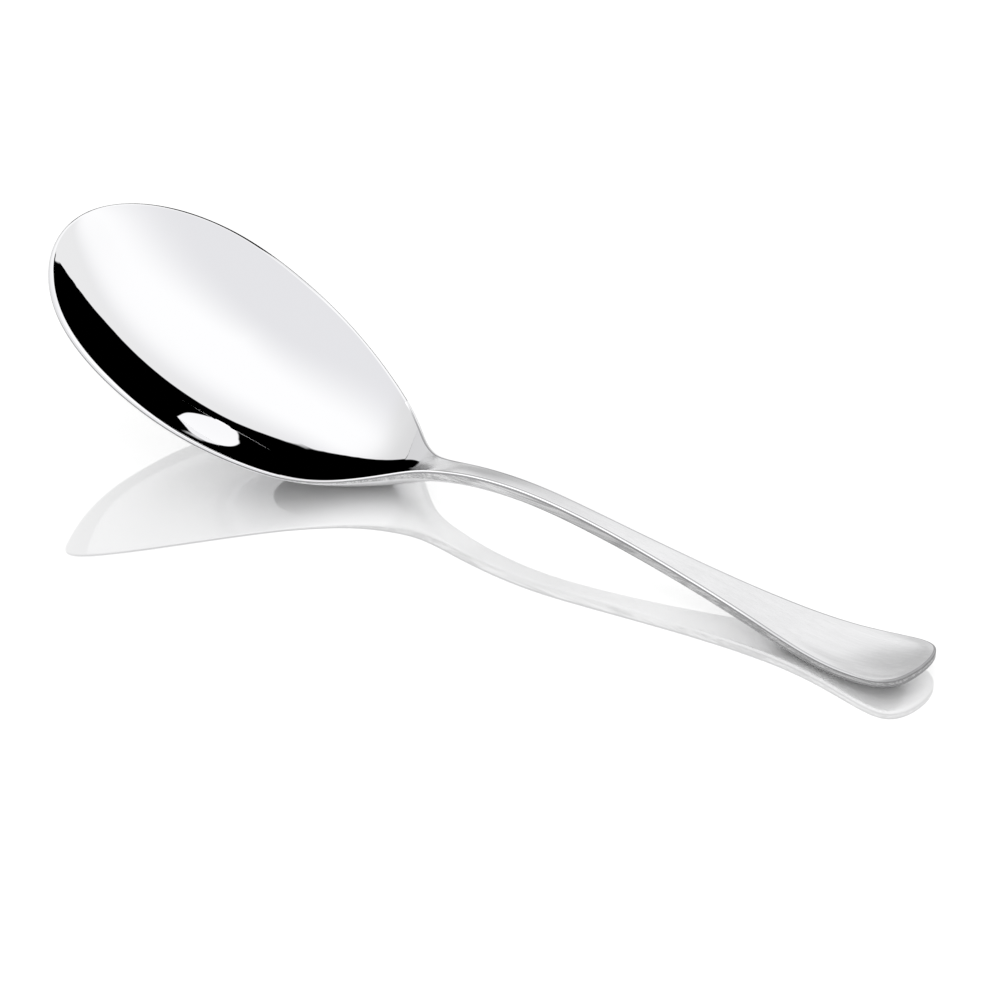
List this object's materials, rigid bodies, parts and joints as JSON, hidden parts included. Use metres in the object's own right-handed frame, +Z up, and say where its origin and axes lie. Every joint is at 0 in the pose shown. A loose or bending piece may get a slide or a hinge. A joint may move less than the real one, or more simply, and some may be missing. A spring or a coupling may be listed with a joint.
{
  "type": "serving spoon",
  "caption": "Stainless steel serving spoon with a wide shallow mirror-polished bowl and an arched satin handle that flares to a round upturned end.",
  "frame": {"origin": "on the table, halfway along the spoon and on its centreline, under the arched shank", "axes": "+X along the spoon from the bowl's tip to the handle's end, +Y across it, +Z up from the table as it lies with its hollow facing up"},
  "size_m": [0.25, 0.073, 0.0447],
  "materials": {
    "mirror_steel": "mirror-polished stainless steel",
    "satin_steel": "satin stainless steel, finely brushed lengthwise"
  },
  "bodies": {
    "root": {"bowl": "mirror_steel", "handle": "satin_steel"}
  },
  "joints": []
}
